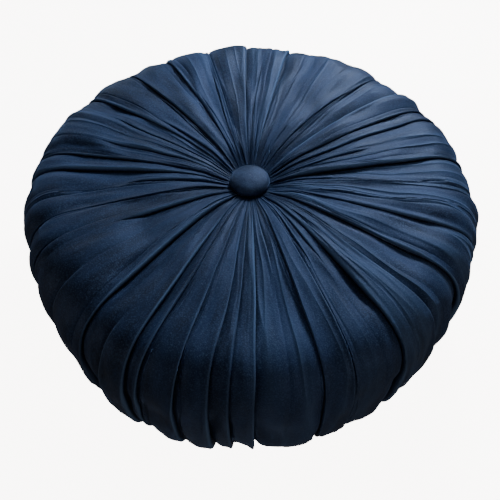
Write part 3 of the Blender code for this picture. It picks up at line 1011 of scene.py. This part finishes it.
    def edges(
        self,
        x: np.ndarray,
        wide: np.ndarray,
        size: np.ndarray,
        next_size: np.ndarray,
        depth: np.ndarray,
        next_depth: np.ndarray,
        lip_left: np.ndarray,
        lip_right: np.ndarray,
    ) -> tuple[np.ndarray, np.ndarray, np.ndarray]:
        """What the two pleats beside each panel do to it.

        Args:
            x: the distance into the panel from its first fold line.
            wide: the panel's width.
            size: the first pleat's size, and next_size the second's, 1 where it has full room.
            next_size: see size.
            depth: how deep the first pleat is, and next_depth the second.
            next_depth: see depth.
            lip_left: whether the first pleat's lip lies on this panel.
            lip_right: whether the second pleat's lip lies on this panel.

        Returns:
            The rise outward, the sideways shift and the painted light and shade of the folds.
        """
        near = (x, size[..., None], depth[..., None])
        far = (wide - x, next_size[..., None], next_depth[..., None])
        near_lip, near_hollow = self.shape.lip_side(*near), self.shape.hollow_side(*near)
        far_lip, far_hollow = self.shape.lip_side(*far), self.shape.hollow_side(*far)
        from_left = [np.where(lip_left[:, None], a, b) for a, b in zip(near_lip, near_hollow)]
        from_right = [np.where(lip_right[:, None], a, b) for a, b in zip(far_lip, far_hollow)]
        own = np.ones(x.shape[2])
        own[0] = 0.0
        return (
            from_left[0] + from_right[0] * own,
            from_left[1] - from_right[1] * own,
            np.clip(from_left[2] + from_right[2] * own, -1, 1),
        )

    def hang(self, rows: Rows, x: np.ndarray, wide: np.ndarray, pleats: list[Pleat]) -> np.ndarray:
        """The broad valleys that the deepest pleats draw into the side."""
        m = rows.marks
        side = rows.window((m["widest"] - 0.025, m["widest"] + 0.025), (m["heel"] - 0.01, m["heel"] + 0.03))
        weight = np.array([p.depth if p.reach in (WHOLE, SIDE) else 0.0 for p in pleats])
        near = weight[:, None] * np.exp(-((x / 0.011) ** 2))
        far = np.roll(weight, -1)[:, None] * np.exp(-(((wide - x) / 0.011) ** 2))
        return self.drape * side[:, None, None] * (near + far)

    def build(self) -> tuple[bpy.types.Object, np.ndarray]:
        """Makes the cover.

        Returns:
            The piece, and its grid of points, rows by columns by 3.
        """
        grid, light_shade_mask, nap = self.points()
        obj = add_object("velvet_cover_gathered", ring_grid_mesh("velvet_cover_gathered", grid))
        # the fold attribute carries the painted highlight on the crests and the painted shade in the hollows,
        # which the velvet reads
        attribute = obj.data.attributes.new("fold", "FLOAT", "POINT")
        attribute.data.foreach_set("value", light_shade_mask.astype(np.float32).ravel())
        attribute = obj.data.attributes.new("nap", "FLOAT_VECTOR", "POINT")
        attribute.data.foreach_set("vector", nap.astype(np.float32).ravel())
        return obj, grid


# ---- what fills the cover -------------------------------------------------------------------------------


@dataclass
class Filling:
    """A foam core wrapped in sheet wadding and sewn into a calico liner, all under the cover's folds."""

    rows: Rows
    height: float
    columns: int = 192
    liner_depth: float = 3.9 * MM
    cover_clearance: float = 2.0 * MM
    liner_cloth: float = 0.8 * MM
    layer_gap: float = 0.3 * MM
    wadding_inside: float = 16.6 * MM
    twine_hole: float = 3.2 * MM
    seam_radius: float = 0.9 * MM

    def sunk(self, cover: np.ndarray) -> np.ndarray:
        """How deep the liner lies at each row and column, so that it keeps clear of the cover's hollows."""
        rows = self.rows
        out = np.hypot(cover[..., 0], cover[..., 1]) - rows.r[:, None]
        rise = out * rows.out_r[:, None] + (cover[..., 2] - rows.z[:, None]) * rows.out_z[:, None]
        turn = np.mod(np.arctan2(cover[..., 1], cover[..., 0]) / (2 * math.pi), 1.0)
        column = (turn * self.columns).astype(int) % self.columns
        lowest = np.full((len(rows.s), self.columns), 1.0)
        np.minimum.at(lowest, (np.arange(len(rows.s))[:, None], column), rise)
        lowest = np.minimum(lowest, np.minimum(np.roll(lowest, 1, axis=1), np.roll(lowest, -1, axis=1)))
        padded = np.pad(lowest, ((1, 1), (0, 0)), mode="edge")
        lowest = np.minimum(np.minimum(padded[:-2], padded[2:]), lowest)
        even = (np.roll(lowest, 1, axis=1) + 2 * lowest + np.roll(lowest, -1, axis=1)) / 4
        half = self.height / 2
        facing = rows.out_r * rows.r / rows.r.max() + rows.out_z * (rows.z - half) / half
        depth = -even / np.maximum(facing, 0.5)[:, None] + self.cover_clearance
        return np.clip(depth, self.liner_depth, self.wadding_inside - 4 * MM)

    def surface(self, depth: np.ndarray | float, first: int, last: int) -> np.ndarray:
        """The section's rows from first to last, drawn in by a depth all round."""
        rows = self.rows
        angles = np.linspace(0, 2 * math.pi, self.columns, endpoint=False)
        depth = np.broadcast_to(depth, (len(rows.s), self.columns))[first : last + 1]
        half = self.height / 2
        out = np.maximum(rows.r[first : last + 1, None] * (1 - depth / rows.r.max()), self.twine_hole)
        up = half + (rows.z[first : last + 1, None] - half) * (1 - depth / half)
        return np.stack([out * np.cos(angles), out * np.sin(angles), up], axis=-1)

    def shell(
        self, name: str, outside: np.ndarray, inside: np.ndarray, finish: str, finishes: Finishes
    ) -> bpy.types.Object:
        """A closed layer between two surfaces."""
        mesh = ring_grid_mesh(name, np.concatenate([outside, inside[::-1]]), close_rows=True)
        mesh.set_sharp_from_angle(angle=math.radians(50))
        obj = add_object(name, mesh)
        finishes.dress(obj, finish)
        return obj

    def seam_row(self, height: float) -> int:
        """The row whose inset point lies nearest to a seam's height, on the side of the cushion."""
        up = self.rows.z + (self.height / 2 - self.rows.z) * self.liner_depth / (self.height / 2)
        near = np.where(self.rows.r > 0.9 * self.rows.r.max(), np.abs(up - height), 1.0)
        return int(np.argmin(near))

    def build(self, cover: np.ndarray, finishes: Finishes) -> None:
        """Makes the layers from the cover's final grid, and hands each one over."""
        band_low, band_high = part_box("liner_side_band")
        top, low, end = self.seam_row(band_high.z), self.seam_row(band_low.z), len(self.rows.s) - 1
        liner = self.sunk(cover)
        pad = liner + self.liner_cloth + self.layer_gap
        stretches = {"top_panel": (0, top), "side_band": (top, low), "bottom_panel": (low, end)}
        for part, (first, last) in stretches.items():
            place = part.split("_")[0]
            cloth = self.shell(
                f"liner_{part}_calico",
                self.surface(liner, first, last),
                self.surface(liner + self.liner_cloth, first, last),
                "calico",
                finishes,
            )
            hand_over(cloth, f"liner_{part}")
            batt = self.shell(
                f"wadding_{place}_batt",
                self.surface(pad, first, last),
                self.surface(self.wadding_inside, first, last),
                "wadding",
                finishes,
            )
            hand_over(batt, f"wadding_{place}")
            place == "side"
        self.make_core(end, finishes)
        self.make_seam("top", top, liner, finishes)
        self.make_seam("bottom", low, liner, finishes)

    def make_core(self, end: int, finishes: Finishes) -> None:
        """The foam core, with the twine's hole down its middle."""
        outside = self.surface(self.wadding_inside + self.layer_gap, 0, end)
        hole = np.linspace(outside[-1, 0, 2], outside[0, 0, 2], 12)
        angles = np.linspace(0, 2 * math.pi, self.columns, endpoint=False)
        wall = np.empty((len(hole), self.columns, 3))
        wall[..., 0], wall[..., 1] = self.twine_hole * np.cos(angles), self.twine_hole * np.sin(angles)
        wall[..., 2] = hole[:, None]
        core = self.shell("foam_core_cut", outside, wall[::-1], "foam", finishes)
        hand_over(core, "foam_core")
        LOG.info("foam core")

    def make_seam(self, place: str, row: int, liner: np.ndarray, finishes: Finishes) -> None:
        """The overlocked seam inside one of the liner's corners, as a thick thread with stitches."""
        path = self.surface(liner + self.liner_cloth + self.seam_radius, row, row)[0]
        turns = np.linspace(0, 2 * math.pi, 8, endpoint=False)
        outward = path * (1, 1, 0)
        outward /= np.linalg.norm(outward, axis=1)[:, None]
        fat = self.seam_radius * (0.80 + 0.20 * np.sin(np.arange(len(path)) * math.pi / 2))
        across, upward = np.cos(turns)[:, None, None], np.sin(turns)[:, None, None]
        ring = path + fat[:, None] * (outward * across + (0, 0, 1) * upward)
        name = f"liner_{place}_seam_stitching"
        obj = add_object(name, ring_grid_mesh(name, ring[::-1], close_rows=True))
        finishes.dress(obj, "white_thread")
        hand_over(obj, f"liner_{place}_seam_thread")
        LOG.info("%s seam", place)


class Tufting:
    """The doubled twine between the buttons. It follows the CAD twine, whose mesh it smooths."""

    def build(self, finishes: Finishes) -> None:
        """Makes the twine that gives way with the stuffing."""
        source = bpy.data.objects["tufting_twine"]
        obj = add_object("tufting_twine_waxed", source.data.copy())
        divide = obj.modifiers.new("divide", "SUBSURF")
        divide.levels = divide.render_levels = 1
        shape = bpy.data.meshes.new_from_object(obj.evaluated_get(bpy.context.evaluated_depsgraph_get()))
        obj.modifiers.clear()
        obj.data = shape
        shape.shade_smooth()
        finishes.dress(obj, "waxed_twine")
        hand_over(obj, "tufting_twine")
        LOG.info("twine: %d points", len(shape.vertices))


# ---- the buttons ----------------------------------------------------------------------------------------


@dataclass
class CoveredButton:
    """A steel button covered in velvet. Its rim is at z = 0, its dome upwards, until it is placed."""

    radius: float
    height: float
    waist: float = 5.2 * MM
    square: float = 2.15
    hem: float = 2.2 * MM
    cloth: float = 0.8 * MM
    tucks: int = 26
    segments: int = 104

    def build(self, name: str, rim: float, downward: bool) -> bpy.types.Object:
        """Makes the velvet skin.

        Args:
            name: the piece's name.
            rim: the height of the rim's plane.
            downward: whether the dome faces down.

        Returns:
            The piece, in place.
        """
        angle = np.linspace(math.pi / 2, 0.0, 22)
        dome_r = self.radius * np.cos(angle).clip(0) ** (2 / self.square)
        dome_z = self.waist + (self.height - self.waist) * np.sin(angle) ** (2 / self.square)
        dome_r[0] = 0.15 * MM
        roll = np.linspace(0.0, math.pi / 2, 8)[1:]
        roll_r = self.radius - self.hem * (1 - np.cos(roll))
        roll_z = self.waist * (1 - np.sin(roll) ** 0.9)
        under_r = np.linspace(self.radius - self.hem, self.radius - 2.4 * self.hem, 4)[1:]
        chain_r = np.concatenate([dome_r, roll_r, under_r])
        chain_z = np.concatenate([dome_z, roll_z, np.full(3, 0.0)])
        theta = np.linspace(0, 2 * math.pi, self.segments, endpoint=False)
        low = smoothstep(self.waist, 0.0, chain_z)[:, None]
        tuck = np.abs(np.sin(theta * self.tucks / 2 + 0.7 * np.sin(3 * theta)))
        radius = chain_r[:, None] - 0.55 * MM * low * (1 - tuck)
        dent = np.sin(2 * theta + 0.4) * np.sin(chain_r * 160)[:, None] + np.sin(5 * theta) * 0.4
        height = chain_z[:, None] + 0.12 * MM * dent * (1 - low) * smoothstep(0, 0.01, chain_r)[:, None]
        inner = np.stack([radius * np.cos(theta), radius * np.sin(theta), height], axis=-1)
        if downward:
            inner[..., 2] *= -1
            inner = inner[:, ::-1]
        inner[..., 2] += rim
        return add_object(name, ring_grid_mesh(name, inner))


# ---- putting it together --------------------------------------------------------------------------------


@dataclass
class Studio:
    """A pale sweep, soft lights and the camera."""

    aim: tuple = (0.0, 0.0, 0.081)
    distance: float = 0.63
    elevation: float = 51.5
    lens: float = 41.9
    shift: float = -0.055
    floor_reach: float = 5.0
    sweep: float = 2.0
    wall: float = 5.0

    def build(self, finishes: Finishes) -> None:
        """Makes the floor, the lights and the camera."""
        turn = np.linspace(0.0, math.pi / 2, 16)
        bend_r = self.floor_reach + self.sweep * np.sin(turn)
        bend = np.stack([bend_r, self.sweep * (1 - np.cos(turn))], axis=1)
        rim = bend[-1] + (0.0, self.wall)
        floor = add_object("floor", turned("floor", np.vstack([(0.001, 0.0), bend, rim]), 96))
        finishes.dress(floor, "pale_paper")
        floor.visible_diffuse = False
        floor.visible_glossy = False
        self.light("key", (0.30, 0.64, 0.64), 0.22, 8.4, (0.90, 0.95, 1.0))
        self.light("rim", (-0.55, 0.95, 0.42), 0.30, 1.0, (0.86, 0.94, 1.0))
        self.light("sky", (0.1, 0.45, 1.6), 0.8, 2.0, (0.95, 0.96, 1.0))
        self.light("left", (-1.1, -0.55, 0.30), 0.5, 1.3, (1.0, 0.90, 0.80))
        self.light("front", (0.95, -0.95, 0.36), 0.35, 2.6, (1.0, 0.86, 0.74))
        self.make_world()
        self.make_camera()

    def light(self, name: str, place: tuple, size: float, power: float, colour: tuple) -> None:
        """A round soft light that faces the cushion."""
        data = bpy.data.lights.new(name, "AREA")
        data.shape = "DISK"
        data.size = size
        data.energy = power
        data.color = colour
        lamp = add_object(name, data)
        lamp.location = place
        back = np.array(place) - np.array(self.aim)
        lamp.rotation_mode = "QUATERNION"
        lamp.rotation_quaternion = Vector(tuple(-back)).to_track_quat("-Z", "Y")

    def make_world(self) -> None:
        """A dim even surround."""
        world = bpy.data.worlds.new("surround")
        world.use_nodes = True
        world.node_tree.nodes["Background"].inputs["Color"].default_value = (0.74, 0.66, 0.60, 1.0)
        world.node_tree.nodes["Background"].inputs["Strength"].default_value = 0.07
        bpy.context.scene.world = world

    def make_camera(self) -> None:
        """The camera, in front of the cushion and above it."""
        data = bpy.data.cameras.new("camera")
        data.lens = self.lens
        data.shift_y = self.shift
        camera = add_object("camera", data)
        tilt = math.radians(self.elevation)
        camera.location = (
            self.aim[0],
            self.aim[1] - self.distance * math.cos(tilt),
            self.aim[2] + self.distance * math.sin(tilt),
        )
        camera.rotation_euler = (math.pi / 2 - tilt, 0.0, 0.0)
        bpy.context.scene.camera = camera


CARRIED_OVER = {
    "top_gather_thread": "navy_thread",
    "bottom_gather_thread": "navy_thread",
    "twine_knot": "waxed_twine",
    "top_button_pad": "wadding",
    "bottom_button_pad": "wadding",
    "top_button_shell": "zinc_steel",
    "bottom_button_shell": "zinc_steel",
    "top_button_back_plate": "zinc_steel",
    "bottom_button_back_plate": "zinc_steel",
    "top_button_wire_eye": "zinc_steel",
    "bottom_button_wire_eye": "zinc_steel",
}


def main() -> None:
    """Builds the cushion and its studio."""
    logging.basicConfig(level=logging.INFO, format="%(message)s")
    finishes = Finishes()
    Studio().build(finishes)

    low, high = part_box("velvet_cover")
    section = Section(radius=high.x, height=high.z)
    top_low, top_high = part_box("top_button_velvet")
    gathered = Cover(section, button_radius=top_high.x)
    cover, grid = gathered.build()
    finishes.dress(cover, "navy_velvet")
    hand_over(cover, "velvet_cover")
    LOG.info("cover: %d points", len(cover.data.vertices))
    Filling(Rows(section, gathered.rows), high.z).build(grid, finishes)
    Tufting().build(finishes)
    for node, finish in CARRIED_OVER.items():
        finishes.dress(bpy.data.objects[node], finish)

    button = CoveredButton(top_high.x, top_high.z - top_low.z)
    bottom_low, bottom_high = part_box("bottom_button_velvet")
    for side, rim, downward in (("top", top_low.z, False), ("bottom", bottom_high.z, True)):
        skin = button.build(f"{side}_button_velvet_skin", rim, downward)
        finishes.dress(skin, "button_velvet")
        hand_over(skin, f"{side}_button_velvet", f"{side}_button")
        LOG.info("%s button", side)


if __name__ == "__main__":
    main()
